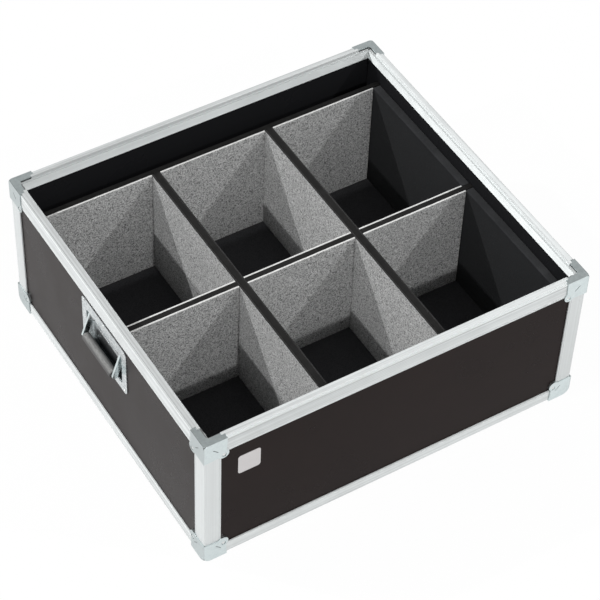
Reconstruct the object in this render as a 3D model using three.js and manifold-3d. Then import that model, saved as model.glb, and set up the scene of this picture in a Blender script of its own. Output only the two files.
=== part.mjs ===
// Open lighting flight case: a lined tray with six bays and a narrow rear trough. Plywood panels sit
// in mitred aluminium bars, pressed steel braces cap the eight corners, and each side has a bail
// handle that a torsion spring pulls back against its dish.
// Millimetres, +X along the front, +Y towards the back, +Z up, origin on the floor below the middle.

import * as THREE from 'three';
import { mergeVertices } from 'three/addons/utils/BufferGeometryUtils.js';
import Module from 'manifold-3d';

const wasm = await Module();
wasm.setup();

// Overall sizes, measured over the corner braces and up to the top of the rim
const case_width = 720;
const case_depth = 660;
const case_height = 297;

// Clearances
const seat_gap = 0.3;
const running_gap = 0.4;
const cut_overrun = 1;

// Boards and linings
const panel_thickness = 11;
const floor_thickness = 9;
const board_thickness = 9.5;
const felt_thickness = 3;
const front_lining_thickness = 7;
const liner_thickness = 16;
const pad_thickness = 3;

// Compartments
const divider_drop = 56.6;
const trough_depth = 33;
const column_count = 3;
const row_count = 2;

// Aluminium bars
const bar_wall = 2;
const edge_leg = 30;
const bottom_leg = 24.5;
const edge_radius = 2;
const groove_inset = 2.4;
const groove_width = 1.2;
const groove_depth = 0.5;
const rim_height = 34.5;
const tongue_rise = 3;
const tongue_inset = 2.5;
const tongue_reach = 12.5;
const ledge_drop = 6;
const inner_leg_drop = 24;

// Corner braces
const brace_sheet = 1.5;
const brace_leg = 42;
const brace_tip = 7;
const ear_offset = 35;
const ear_radius = 10;
const rivet_well_radius = 4.2;
const rivet_well_depth = 1.2;
const floor_corner = 14;
const rim_corner = 6;
const cap_width = 13;
const cap_tip_width = 9;
const cap_tip_length = 6;
const crease_offset = 21;
const cross_crease_offset = 26.5;
const crease_length = 13;
const crease_width = 1.4;
const crease_depth = 0.6;

// Handles
const plate_width = 150;
const plate_height = 102;
const plate_radius = 8;
const plate_drop = 8.5;
const dish_sheet = 1.5;
const dish_width = 120;
const dish_height = 66;
const dish_radius = 6;
const dish_depth = 10.5;
const dish_rise = 15;
const pivot_drop = 7.6;
const pivot_depth = 3.6;
const bail_reach = 14.5;
const bail_drop = 41.4;
const arm_spread = 50;
const arm_thickness = 4;
const arm_radius = 5;
const crossbar_radius = 4;
const grip_radius = 8;
const grip_round = 1.5;
const grip_length = 96;
const axle_radius = 2.5;
const axle_head_radius = 3.2;
const axle_head_length = 1.5;
const wire_radius = 0.75;
const coil_radius = 4;
const coil_pitch = 2.1;
const coil_turns = 5;
const spring_tail = 9;
const spring_leg = 24;
const spring_bend = 4;
const least_wire_gap = 0.4;

// Places worked out from the sizes above
const frame_half_x = case_width / 2 - brace_sheet - seat_gap;
const frame_half_y = case_depth / 2 - brace_sheet - seat_gap;
const frame_bottom = brace_sheet + seat_gap;
const brace_top = case_height - tongue_rise + seat_gap + brace_sheet;
const panel_inset = bar_wall + seat_gap;
const wall_inset = panel_inset + panel_thickness;
const rim_width = wall_inset + panel_inset;
const inner_half_x = frame_half_x - wall_inset;
const inner_half_y = frame_half_y - wall_inset;
const floor_top = frame_bottom + panel_inset + floor_thickness;
const wall_foot = floor_top + seat_gap;
const wall_top = case_height - ledge_drop - bar_wall - seat_gap;
const divider_top = case_height - divider_drop;
const divider_middle = (wall_foot + divider_top) / 2;
const covered_thickness = board_thickness + 2 * (felt_thickness + seat_gap);
const liner_face = inner_half_x - seat_gap - liner_thickness;
const bay_width = (2 * liner_face - (column_count - 1) * covered_thickness) / column_count;
const rear_board_back = inner_half_y - trough_depth;
const rear_board_front = rear_board_back - board_thickness;
const rear_felt_face = rear_board_front - seat_gap - felt_thickness;
const front_felt_face = -inner_half_y + seat_gap + front_lining_thickness;
const bay_depth = (rear_felt_face - front_felt_face - (row_count - 1) * covered_thickness) / row_count;
const cross_y = front_felt_face + bay_depth + covered_thickness / 2;
const slot_half = covered_thickness / 2 + seat_gap;

// Facet counts
const round_sides = 24;
const sphere_sides = 32;
const corner_steps = 4;
const ear_steps = 10;
const wire_sides = 5;
const coil_steps = 8;

// Finishes
const phenolic = new THREE.MeshStandardMaterial({ color: 0x332c2a, roughness: 0.45, metalness: 0 });
const aluminium = new THREE.MeshStandardMaterial({ color: 0xdfe3e3, roughness: 0.35, metalness: 1 });
const zinc = new THREE.MeshStandardMaterial({ color: 0xc3cfcf, roughness: 0.4, metalness: 1 });
const spring_steel = new THREE.MeshStandardMaterial({ color: 0x9aa0a2, roughness: 0.35, metalness: 1 });
const grip_rubber = new THREE.MeshStandardMaterial({ color: 0x2b2b2b, roughness: 0.7, metalness: 0 });
const ply = new THREE.MeshStandardMaterial({ color: 0x2a2726, roughness: 0.7, metalness: 0 });
const felt = new THREE.MeshStandardMaterial({ color: 0x808284, roughness: 1, metalness: 0 });
const foam = new THREE.MeshStandardMaterial({ color: 0x1b1b1d, roughness: 1, metalness: 0 });

const flight_case = new THREE.Group();
flight_case.name = 'lighting_flight_case';

// Boolean helpers

function toSolid(geometry) {
  const bare = geometry.clone();
  bare.deleteAttribute('normal');
  bare.deleteAttribute('uv');
  const merged = mergeVertices(bare);
  const vertProperties = Float32Array.from(merged.attributes.position.array);
  const triVerts = Uint32Array.from(merged.index.array);
  return new wasm.Manifold(new wasm.Mesh({ numProp: 3, vertProperties, triVerts }));
}

function toGeometry(solid) {
  const mesh = solid.getMesh();
  const geometry = new THREE.BufferGeometry();
  geometry.setAttribute('position', new THREE.BufferAttribute(Float32Array.from(mesh.vertProperties), 3));
  geometry.setIndex(new THREE.BufferAttribute(Uint32Array.from(mesh.triVerts), 1));
  geometry.computeVertexNormals();
  return geometry;
}

function join(...geometries) {
  let solid = toSolid(geometries[0]);
  for (const geometry of geometries.slice(1)) {
    solid = solid.add(toSolid(geometry));
  }
  return toGeometry(solid);
}

function cut(body, ...tools) {
  let solid = toSolid(body);
  for (const tool of tools) {
    solid = solid.subtract(toSolid(tool));
  }
  return toGeometry(solid);
}

function overlapOf(first, second) {
  return toGeometry(toSolid(first).intersect(toSolid(second)));
}

// Shape helpers

function addMesh(parent, name, geometry, material, position = [0, 0, 0]) {
  const mesh = new THREE.Mesh(geometry, material);
  mesh.name = name;
  mesh.position.set(...position);
  parent.add(mesh);
  return mesh;
}

function boxGeometry(low, high) {
  const size = high.map((value, axis) => value - low[axis]);
  const centre = high.map((value, axis) => (value + low[axis]) / 2);
  return new THREE.BoxGeometry(...size).translate(...centre);
}

function addBlock(parent, name, material, low, high) {
  const size = high.map((value, axis) => value - low[axis]);
  const centre = high.map((value, axis) => (value + low[axis]) / 2);
  return addMesh(parent, name, new THREE.BoxGeometry(...size), material, centre);
}

function outline(points) {
  return new THREE.Shape(points.map(([x, y]) => new THREE.Vector2(x, y)));
}

function arcPoints(centre, radius, start, end, steps) {
  const points = [];
  for (let step = 0; step <= steps; step += 1) {
    const angle = start + ((end - start) * step) / steps;
    points.push([centre[0] + radius * Math.cos(angle), centre[1] + radius * Math.sin(angle)]);
  }
  return points;
}

function roundedRectangle(width, height, radius, centre_height = 0) {
  const x = width / 2 - radius;
  const y = height / 2 - radius;
  const corners = [[x, y, 0], [-x, y, 1], [-x, -y, 2], [x, -y, 3]];
  const points = corners.flatMap(([cx, cy, quarter]) => {
    const start = (quarter * Math.PI) / 2;
    return arcPoints([cx, cy + centre_height], radius, start, start + Math.PI / 2, corner_steps);
  });
  return outline(points);
}

function extrude(shape, depth) {
  return new THREE.ExtrudeGeometry(shape, { depth, bevelEnabled: false, curveSegments: round_sides });
}

// A shape drawn in the YZ plane, thick along +X from the given start
function extrudeAlongX(shape, start, depth) {
  const turn = new THREE.Matrix4().makeBasis(
    new THREE.Vector3(0, 1, 0),
    new THREE.Vector3(0, 0, 1),
    new THREE.Vector3(1, 0, 0),
  );
  return extrude(shape, depth).applyMatrix4(turn).translate(start, 0, 0);
}

// A shape drawn in the XZ plane, thick along +Y from the given start
function extrudeAlongY(shape, start, depth) {
  return extrude(shape, depth).rotateX(Math.PI / 2).translate(0, start + depth, 0);
}

// Frame bars

// A bar whose section is drawn inwards (u) and upwards (v) from its outer face, mitred at both ends
function mitredBar(section, half_length) {
  const end = half_length - seat_gap / 2;
  const bar = extrude(outline(section), 2 * end).translate(0, 0, -end);
  const place = bar.attributes.position;
  for (let index = 0; index < place.count; index += 1) {
    const along = place.getZ(index);
    place.setZ(index, along - Math.sign(along) * place.getX(index));
  }
  const turn = new THREE.Matrix4().makeBasis(
    new THREE.Vector3(0, 1, 0),
    new THREE.Vector3(0, 0, 1),
    new THREE.Vector3(1, 0, 0),
  );
  return bar.applyMatrix4(turn);
}

// Two lines pressed along the outer face of a leg, just inside its free edge
function legGroove(edge, towards) {
  const near = edge + towards * groove_inset;
  const far = near + towards * groove_width;
  const slope = (towards * groove_depth) / 2;
  return [[0, near], [groove_depth, near + slope], [groove_depth, far - slope], [0, far]];
}

function rimSection() {
  const slot_inner = rim_width - bar_wall;
  const shoulder = -tongue_rise;
  const inner_edge = tongue_reach - bar_wall;
  const outer_edge = tongue_inset + bar_wall;
  return [
    ...legGroove(-rim_height, 1).reverse(),
    [0, -rim_height],
    [bar_wall, -rim_height],
    [bar_wall, shoulder - bar_wall],
    [outer_edge, shoulder - bar_wall],
    [outer_edge, -bar_wall],
    [inner_edge, -bar_wall],
    [inner_edge, -ledge_drop - bar_wall],
    [slot_inner, -ledge_drop - bar_wall],
    [slot_inner, -inner_leg_drop],
    [rim_width, -inner_leg_drop],
    [rim_width, -ledge_drop],
    [tongue_reach, -ledge_drop],
    [tongue_reach, 0],
    [tongue_reach - groove_width, 0],
    [tongue_reach - groove_width - groove_depth, -groove_depth],
    [tongue_reach - groove_width - 2 * groove_depth, 0],
    [tongue_inset, 0],
    [tongue_inset, shoulder],
    [0, shoulder],
  ];
}

function angleSection(upright) {
  const corner = arcPoints([edge_radius, edge_radius], edge_radius, Math.PI, 1.5 * Math.PI, corner_steps);
  const floor_groove = legGroove(edge_leg, -1).map(([u, v]) => [v, u]);
  return [
    ...legGroove(upright, -1),
    ...corner,
    ...floor_groove.reverse(),
    [edge_leg, 0],
    [edge_leg, bar_wall],
    [bar_wall, bar_wall],
    [bar_wall, upright],
    [0, upright],
  ];
}

// What a rounded corner brace leaves outside itself: a cube at the corner less a ball inside it
function cornerWaste(corner_size, ball_radius, reach) {
  const cube = boxGeometry([-reach, -reach, -reach], [corner_size, corner_size, corner_size]);
  const ball = new THREE.SphereGeometry(ball_radius, sphere_sides, sphere_sides / 2);
  ball.translate(corner_size, corner_size, corner_size);
  return cut(cube, ball);
}

function ballRadius(corner_size) {
  return corner_size * Math.SQRT2;
}

// The waste at each end of a bar, in the bar's own frame, with height growing from its outer corner
function barWaste(corner_size, half_length, outer_height, upwards) {
  const reach = cut_overrun;
  const waste = cornerWaste(corner_size, ballRadius(corner_size) - brace_sheet - seat_gap, reach);
  const proud = brace_sheet + seat_gap;
  return [-1, 1].map((end) => {
    const piece = waste.clone();
    piece.scale(-end, 1, upwards);
    if (-end * upwards < 0) {
      flipFaces(piece);
    }
    return piece.translate(end * (half_length + proud), -proud, outer_height);
  });
}

function flipFaces(geometry) {
  const index = geometry.index;
  for (let face = 0; face < index.count; face += 3) {
    const first = index.getX(face);
    index.setX(face, index.getX(face + 1));
    index.setX(face + 1, first);
  }
}

// The tongue is cut away at each end in two steps, to the shape of the brace's cap
function rimBar(half_length) {
  const bar = mitredBar(rimSection(), half_length);
  const tip_room = brace_leg - brace_sheet;
  const steps = [
    { room: tip_room - cap_tip_length, reach: tongue_reach },
    { room: tip_room, reach: cap_tip_width - brace_sheet },
  ];
  const cuts = [-1, 1].flatMap((end) => steps.map((step) => {
    const start = end * (half_length - step.room);
    const stop = end * (half_length + cut_overrun);
    return boxGeometry(
      [Math.min(start, stop), tongue_inset, -ledge_drop],
      [Math.max(start, stop), step.reach, cut_overrun],
    );
  }));
  const brace_level = brace_top - case_height;
  return cut(bar, ...cuts, ...barWaste(rim_corner, half_length, brace_level, -1));
}

function bottomBar(half_length) {
  const bar = mitredBar(angleSection(bottom_leg), half_length);
  return cut(bar, ...barWaste(floor_corner, half_length, -frame_bottom, 1));
}

const sides = [
  { name: 'front', quarter: 0, half_length: frame_half_x, offset: frame_half_y },
  { name: 'right', quarter: 1, half_length: frame_half_y, offset: frame_half_x },
  { name: 'back', quarter: 2, half_length: frame_half_x, offset: frame_half_y },
  { name: 'left', quarter: 3, half_length: frame_half_y, offset: frame_half_x },
];

function addSideBars() {
  for (const side of sides) {
    const group = new THREE.Group();
    group.rotation.z = (side.quarter * Math.PI) / 2;
    addMesh(group, `rim_${side.name}`, rimBar(side.half_length), aluminium, [0, -side.offset, case_height]);
    const place = [0, -side.offset, frame_bottom];
    addMesh(group, `bottom_edge_${side.name}`, bottomBar(side.half_length), aluminium, place);
    flight_case.add(group);
  }
}

// Corner pieces

const corners = [
  { name: 'front_left', quarter: 0, x: -1, y: -1 },
  { name: 'front_right', quarter: 1, x: 1, y: -1 },
  { name: 'back_right', quarter: 2, x: 1, y: 1 },
  { name: 'back_left', quarter: 3, x: -1, y: 1 },
];

// One face of a brace, drawn from the outer corner: two legs and a round ear over the panel
function braceFace() {
  const start = -0.3 * Math.PI;
  const end = 0.8 * Math.PI;
  return outline([
    [0, 0],
    [brace_leg, 0],
    [brace_leg, brace_tip],
    ...arcPoints([ear_offset, ear_offset], ear_radius, start, end, ear_steps),
    [brace_tip, brace_leg],
    [0, brace_leg],
  ]);
}

// The ear is joggled in until it rests on the panel beside the two bars that it reaches past
function braceEar(first_leg, second_leg) {
  const level = brace_sheet + seat_gap;
  const depth = level + bar_wall;
  const disc = new THREE.CylinderGeometry(ear_radius, ear_radius, depth, 2 * ear_steps);
  disc.rotateX(Math.PI / 2).translate(ear_offset, ear_offset, depth / 2);
  const reach = ear_offset + ear_radius + cut_overrun;
  const window = boxGeometry(
    [first_leg + level + seat_gap, second_leg + level + seat_gap, 0],
    [reach, reach, depth],
  );
  return overlapOf(disc, window);
}

// The round well in the ear that takes the rivet's head, clear of the two bars
function rivetWell(first_leg, second_leg) {
  const clear = brace_sheet + 2 * seat_gap + rivet_well_radius;
  const well = new THREE.CylinderGeometry(
    rivet_well_radius,
    rivet_well_radius,
    2 * rivet_well_depth,
    2 * ear_steps,
  );
  return well.rotateX(Math.PI / 2).translate(first_leg + clear, second_leg + clear, 0);
}

// A line pressed into the face on its diagonal, along it or across it
function braceCrease(across) {
  const crease = new THREE.BoxGeometry(crease_length, crease_width, 2 * crease_depth);
  const offset = across ? cross_crease_offset : crease_offset;
  const turn = across ? -Math.PI / 4 : Math.PI / 4;
  return crease.rotateZ(turn).translate(offset, offset, 0);
}

// A face lies in the XY plane, outer side at z = 0, thick towards +Z
function braceSide(first_leg, second_leg, across) {
  const face = join(extrude(braceFace(), brace_sheet), braceEar(first_leg, second_leg));
  return cut(face, braceCrease(across), rivetWell(first_leg, second_leg));
}

// The face in the XZ plane, then the one in the YZ plane, both thick towards the inside of the case
function standingFaces(level_leg, across) {
  const face = braceSide(edge_leg, level_leg, across);
  const on_front = face.clone().applyMatrix4(new THREE.Matrix4().makeBasis(
    new THREE.Vector3(1, 0, 0),
    new THREE.Vector3(0, 0, 1),
    new THREE.Vector3(0, 1, 0),
  ));
  flipFaces(on_front);
  const on_side = face.clone().applyMatrix4(new THREE.Matrix4().makeBasis(
    new THREE.Vector3(0, 1, 0),
    new THREE.Vector3(0, 0, 1),
    new THREE.Vector3(1, 0, 0),
  ));
  return [on_front, on_side];
}

function capPlate() {
  const tip_start = brace_leg - cap_tip_length;
  const plate = outline([
    [0, 0],
    [brace_leg, 0],
    [brace_leg, cap_tip_width],
    [tip_start, cap_tip_width],
    [tip_start, cap_width],
    [rim_width, cap_width],
    [rim_width, rim_width],
    [cap_width, rim_width],
    [cap_width, tip_start],
    [cap_tip_width, tip_start],
    [cap_tip_width, brace_leg],
    [0, brace_leg],
  ]);
  return extrude(plate, brace_sheet);
}

// Lines the inside of the rounded corner, so that the three faces run into one pressed shell
function cornerShell(corner_size) {
  const radius = ballRadius(corner_size);
  const solid = boxGeometry([0, 0, 0], [corner_size, corner_size, corner_size]);
  const ball = new THREE.SphereGeometry(radius - brace_sheet, sphere_sides, sphere_sides / 2);
  ball.translate(corner_size, corner_size, corner_size);
  const room = corner_size + cut_overrun;
  const hollow = boxGeometry([brace_sheet, brace_sheet, brace_sheet], [room, room, room]);
  return cut(solid, overlapOf(ball, hollow));
}

function braceBody(level_leg, level_face, corner_size, across) {
  const shell = join(...standingFaces(level_leg, across), level_face, cornerShell(corner_size));
  return cut(shell, cornerWaste(corner_size, ballRadius(corner_size), cut_overrun));
}

function turnOver(geometry) {
  const turned = geometry.scale(1, 1, -1);
  flipFaces(turned);
  return turned;
}

function addCorners() {
  const post_length = case_height - rim_height - frame_bottom - bottom_leg - 2 * seat_gap;
  const post = extrude(outline(angleSection(edge_leg)), post_length);
  const floor_face = braceSide(edge_leg, edge_leg, true);
  const bottom_brace = braceBody(bottom_leg, floor_face, floor_corner, true);
  const rim_leg = rim_height - tongue_rise;
  const top_brace = turnOver(braceBody(rim_leg, capPlate(), rim_corner, false));
  for (const corner of corners) {
    const group = new THREE.Group();
    group.position.set((corner.x * case_width) / 2, (corner.y * case_depth) / 2, 0);
    group.rotation.z = (corner.quarter * Math.PI) / 2;
    const level = brace_sheet + seat_gap;
    const foot = frame_bottom + bottom_leg + seat_gap;
    addMesh(group, `corner_edge_${corner.name}`, post, aluminium, [level, level, foot]);
    addMesh(group, `bottom_brace_${corner.name}`, bottom_brace, zinc);
    addMesh(group, `top_brace_${corner.name}`, top_brace, zinc, [0, 0, brace_top]);
    flight_case.add(group);
  }
}

// Panels

function addPanels() {
  const outer_x = frame_half_x - panel_inset;
  const outer_y = frame_half_y - panel_inset;
  const low = [-outer_x, -outer_y, frame_bottom + panel_inset];
  const high = [outer_x, outer_y, floor_top];
  const centre_z = (low[2] + high[2]) / 2;
  const radius = ballRadius(floor_corner) - brace_sheet - seat_gap;
  const wastes = corners.map((corner) => {
    const waste = cornerWaste(floor_corner, radius, cut_overrun).rotateZ((corner.quarter * Math.PI) / 2);
    return waste.translate((corner.x * case_width) / 2, (corner.y * case_depth) / 2, -centre_z);
  });
  const floor_size = high.map((value, axis) => value - low[axis]);
  const floor = cut(new THREE.BoxGeometry(...floor_size), ...wastes);
  addMesh(flight_case, 'bottom_panel', floor, phenolic, [0, 0, centre_z]);
  for (const [name, side] of [['front_panel', -1], ['back_panel', 1]]) {
    const faces = [side * inner_half_y, side * outer_y].sort((a, b) => a - b);
    addBlock(
      flight_case,
      name,
      phenolic,
      [-outer_x, faces[0], wall_foot],
      [outer_x, faces[1], wall_top],
    );
  }
  for (const [name, side] of [['left_panel', -1], ['right_panel', 1]]) {
    addMesh(flight_case, name, sidePanel(side), phenolic, [side * outer_x, 0, handle_height]);
  }
}

// A side panel in its handle's frame, with the hole that the dish drops into
function sidePanel(side) {
  const start = side > 0 ? -panel_thickness : 0;
  const half = inner_half_y - seat_gap;
  const panel = boxGeometry(
    [start, -half, wall_foot - handle_height],
    [start + panel_thickness, half, wall_top - handle_height],
  );
  const hole_width = dish_width + 2 * (dish_sheet + axle_head_length + 2 * seat_gap + running_gap);
  const hole_height = dish_height + 2 * (dish_sheet + seat_gap);
  const hole = roundedRectangle(hole_width, hole_height, dish_radius, dish_centre);
  const tool = extrudeAlongX(hole, start - cut_overrun, panel_thickness + 2 * cut_overrun);
  return cut(panel, tool);
}

// Dividers and linings

const column_places = Array.from({ length: column_count }, (unused, column) => {
  const low = -liner_face + column * (bay_width + covered_thickness);
  return [low, low + bay_width];
});
const row_places = Array.from({ length: row_count }, (unused, row) => {
  const low = front_felt_face + row * (bay_depth + covered_thickness);
  return [low, low + bay_depth];
});
const divider_places = column_places.slice(1).map(([low]) => low - covered_thickness / 2);

// A sheet across the case, with a slot open at the top for each long divider
function slottedSheet(half_length, half_slot) {
  const slot_floor = divider_middle - seat_gap / 2;
  const points = [[-half_length, wall_foot], [half_length, wall_foot], [half_length, divider_top]];
  for (const place of [...divider_places].reverse()) {
    points.push([place + half_slot, divider_top]);
    points.push([place + half_slot, slot_floor]);
    points.push([place - half_slot, slot_floor]);
    points.push([place - half_slot, divider_top]);
  }
  points.push([-half_length, divider_top]);
  return outline(points);
}

// A sheet along the case, notched below for the cross board, with its upper half reaching further
function longSheet(upper_end) {
  const slot_roof = divider_middle + seat_gap / 2;
  return outline([
    [front_felt_face + seat_gap, wall_foot],
    [cross_y - slot_half, wall_foot],
    [cross_y - slot_half, slot_roof],
    [cross_y + slot_half, slot_roof],
    [cross_y + slot_half, wall_foot],
    [rear_felt_face - seat_gap, wall_foot],
    [rear_felt_face - seat_gap, slot_roof],
    [upper_end, slot_roof],
    [upper_end, divider_top],
    [-inner_half_y + seat_gap, divider_top],
    [-inner_half_y + seat_gap, slot_roof],
    [front_felt_face + seat_gap, slot_roof],
  ]);
}

function addAcross(name, shape, material, start, thickness) {
  const mesh = addMesh(flight_case, name, extrude(shape, thickness), material, [0, start + thickness, 0]);
  mesh.rotation.x = Math.PI / 2;
}

function addDividers() {
  const half_length = inner_half_x - seat_gap;
  const board_slot = board_thickness / 2 + seat_gap;
  addAcross('rear_divider', slottedSheet(half_length, board_slot), ply, rear_board_front, board_thickness);
  const cross_start = cross_y - board_thickness / 2;
  addAcross('cross_divider', slottedSheet(half_length, slot_half), ply, cross_start, board_thickness);
  const felt_shape = slottedSheet(liner_face - seat_gap, slot_half);
  addAcross('felt_rear_divider', felt_shape, felt, rear_felt_face, felt_thickness);
  addAcross('felt_cross_back', felt_shape, felt, cross_start + board_thickness + seat_gap, felt_thickness);
  addAcross('felt_cross_front', felt_shape, felt, cross_start - seat_gap - felt_thickness, felt_thickness);
  const front_start = -inner_half_y + seat_gap;
  addAcross('felt_front_wall', felt_shape, felt, front_start, front_lining_thickness);
  divider_places.forEach((place, index) => {
    const side = ['left', 'right'][index];
    const start = place - board_thickness / 2;
    const board = extrudeAlongX(longSheet(rear_board_back), 0, board_thickness);
    addMesh(flight_case, `long_divider_${side}`, board, ply, [start, 0, 0]);
    const lining = extrudeAlongX(longSheet(rear_board_front - seat_gap), 0, felt_thickness);
    const outer_start = start - seat_gap - felt_thickness;
    addMesh(flight_case, `felt_long_${side}_a`, lining, felt, [outer_start, 0, 0]);
    addMesh(flight_case, `felt_long_${side}_b`, lining, felt, [start + board_thickness + seat_gap, 0, 0]);
  });
}

function addFoam() {
  const board_edge = board_thickness / 2 + seat_gap;
  const runs = {
    front: [-inner_half_y + seat_gap, cross_y - board_edge],
    back: [cross_y + board_edge, rear_board_front - seat_gap],
  };
  for (const [side, sign] of [['left', -1], ['right', 1]]) {
    const faces = [sign * liner_face, sign * (inner_half_x - seat_gap)].sort((a, b) => a - b);
    for (const [place, [start, end]] of Object.entries(runs)) {
      const low = [faces[0], start, wall_foot];
      const high = [faces[1], end, divider_top];
      addBlock(flight_case, `liner_${side}_${place}`, foam, low, high);
    }
  }
  row_places.forEach(([front, back], row) => {
    column_places.forEach(([left, right], column) => {
      const low = [left + seat_gap, front + seat_gap, wall_foot];
      const high = [right - seat_gap, back - seat_gap, wall_foot + pad_thickness];
      addBlock(flight_case, `floor_pad_${['front', 'back'][row]}_${column + 1}`, foam, low, high);
    });
  });
}

// Handles, drawn with +X pointing out of the panel and the origin in the middle of the plate

const handle_height = case_height - rim_height - plate_drop - plate_height / 2;
const dish_centre = dish_rise + (dish_height - plate_height) / 2;
const pivot_z = dish_centre + dish_height / 2 - pivot_drop;
const grip_x = -pivot_depth + bail_reach;
const grip_z = pivot_z - bail_drop;

function handleDish() {
  const front = seat_gap + dish_sheet;
  const plate_shape = roundedRectangle(plate_width, plate_height, plate_radius);
  const plate = extrudeAlongX(plate_shape, seat_gap, dish_sheet);
  const outer = roundedRectangle(
    dish_width + 2 * dish_sheet,
    dish_height + 2 * dish_sheet,
    dish_radius + dish_sheet,
    dish_centre,
  );
  const inner = roundedRectangle(dish_width, dish_height, dish_radius, dish_centre);
  const well = extrudeAlongX(outer, front - dish_depth - dish_sheet, dish_depth + dish_sheet);
  const hollow = extrudeAlongX(inner, front - dish_depth, dish_depth + cut_overrun);
  const bore = new THREE.CylinderGeometry(
    axle_radius + running_gap,
    axle_radius + running_gap,
    plate_width,
    round_sides,
  );
  bore.translate(-pivot_depth, 0, pivot_z);
  return cut(join(plate, well), hollow, bore);
}

function handleAxle() {
  const head_inner = dish_width / 2 + dish_sheet + seat_gap;
  const end = head_inner + axle_head_length;
  const profile = [
    [0, -end],
    [axle_head_radius, -end],
    [axle_head_radius, -head_inner],
    [axle_radius, -head_inner],
    [axle_radius, head_inner],
    [axle_head_radius, head_inner],
    [axle_head_radius, end],
    [0, end],
  ];
  return new THREE.LatheGeometry(profile.map(([x, y]) => new THREE.Vector2(x, y)), round_sides);
}

// One arm, drawn from the pivot to the grip: two round ends on parallel sides, with an eye for the axle
function armOutline() {
  const lean = Math.atan2(grip_z - pivot_z, grip_x + pivot_depth);
  const side = Math.PI / 2;
  const half_round = round_sides / 2;
  const points = [
    ...arcPoints([grip_x, grip_z], arm_radius, lean - side, lean + side, half_round),
    ...arcPoints([-pivot_depth, pivot_z], arm_radius, lean + side, lean + 3 * side, half_round),
  ];
  const arm = outline(points);
  const eye = new THREE.Path();
  eye.absarc(-pivot_depth, pivot_z, axle_radius + running_gap, 0, 2 * Math.PI, true);
  arm.holes.push(eye);
  return arm;
}

function handleBail() {
  const arms = [arm_spread, -arm_spread - arm_thickness].map((start) => {
    return extrudeAlongY(armOutline(), start, arm_thickness);
  });
  const bar_length = 2 * arm_spread + arm_thickness;
  const crossbar = new THREE.CylinderGeometry(crossbar_radius, crossbar_radius, bar_length, round_sides);
  crossbar.translate(grip_x, 0, grip_z);
  return join(...arms, crossbar);
}

function handleGrip() {
  const half = grip_length / 2;
  const bore = crossbar_radius + running_gap;
  const centre = grip_radius - grip_round;
  const lower = arcPoints([centre, -half + grip_round], grip_round, -Math.PI / 2, 0, corner_steps);
  const upper = arcPoints([centre, half - grip_round], grip_round, 0, Math.PI / 2, corner_steps);
  const profile = [[bore, -half], ...lower, ...upper, [bore, half], [bore, -half]];
  return new THREE.LatheGeometry(profile.map(([x, y]) => new THREE.Vector2(x, y)), round_sides);
}

// Half of the double torsion spring, from its tail on the arm to the middle of its long bridge
function springHalf() {
  const lean = Math.atan2(grip_z - pivot_z, grip_x + pivot_depth);
  const start_angle = lean + Math.PI / 2;
  const sweep = Math.PI - start_angle + 2 * Math.PI * coil_turns;
  const steps = Math.round((sweep / (2 * Math.PI)) * coil_steps);
  const tail_y = arm_spread - running_gap - wire_radius;
  const points = [];
  const entry = new THREE.Vector3(
    -pivot_depth + coil_radius * Math.cos(start_angle),
    tail_y,
    pivot_z + coil_radius * Math.sin(start_angle),
  );
  const tail = new THREE.Vector3(Math.cos(lean), 0, Math.sin(lean));
  points.push(entry.clone().addScaledVector(tail, spring_tail));
  for (let step = 0; step <= steps; step += 1) {
    const angle = start_angle + (sweep * step) / steps;
    const turns = (angle - start_angle) / (2 * Math.PI);
    points.push(new THREE.Vector3(
      -pivot_depth + coil_radius * Math.cos(angle),
      tail_y - coil_pitch * turns,
      pivot_z + coil_radius * Math.sin(angle),
    ));
  }
  const leave = points[points.length - 1];
  const floor_x = seat_gap + dish_sheet - dish_depth + seat_gap + wire_radius;
  const bend_z = leave.z - spring_leg + spring_bend;
  const bend = arcPoints([leave.y - spring_bend, bend_z], spring_bend, 0, -Math.PI / 2, corner_steps);
  for (const [y, z] of bend) {
    points.push(new THREE.Vector3(floor_x, y, z));
  }
  return points;
}

function springPath() {
  const half = springHalf();
  const other = half.map((point) => new THREE.Vector3(point.x, -point.y, point.z)).reverse();
  return [...half, ...other];
}

// A closed tube with flat ends along a list of points, its rings carried on without twist
function tubeAlong(points, radius, ring_sides) {
  const tangents = points.map((point, index) => {
    const before = points[Math.max(index - 1, 0)];
    const after = points[Math.min(index + 1, points.length - 1)];
    return after.clone().sub(before).normalize();
  });
  let normal = new THREE.Vector3(0, 1, 0);
  const places = [];
  points.forEach((point, index) => {
    const tangent = tangents[index];
    normal = normal.clone().addScaledVector(tangent, -normal.dot(tangent)).normalize();
    const across = tangent.clone().cross(normal);
    for (let side = 0; side < ring_sides; side += 1) {
      const angle = (2 * Math.PI * side) / ring_sides;
      const spot = point.clone().addScaledVector(normal, radius * Math.cos(angle));
      spot.addScaledVector(across, radius * Math.sin(angle));
      places.push(spot.x, spot.y, spot.z);
    }
  });
  const faces = [];
  for (let ring = 0; ring < points.length - 1; ring += 1) {
    for (let side = 0; side < ring_sides; side += 1) {
      const next = (side + 1) % ring_sides;
      const here = ring * ring_sides;
      const ahead = here + ring_sides;
      faces.push(here + side, here + next, ahead + next, here + side, ahead + next, ahead + side);
    }
  }
  const last = (points.length - 1) * ring_sides;
  for (let side = 1; side < ring_sides - 1; side += 1) {
    faces.push(0, side + 1, side, last, last + side, last + side + 1);
  }
  const geometry = new THREE.BufferGeometry();
  geometry.setAttribute('position', new THREE.Float32BufferAttribute(places, 3));
  geometry.setIndex(faces);
  geometry.computeVertexNormals();
  return geometry;
}

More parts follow.
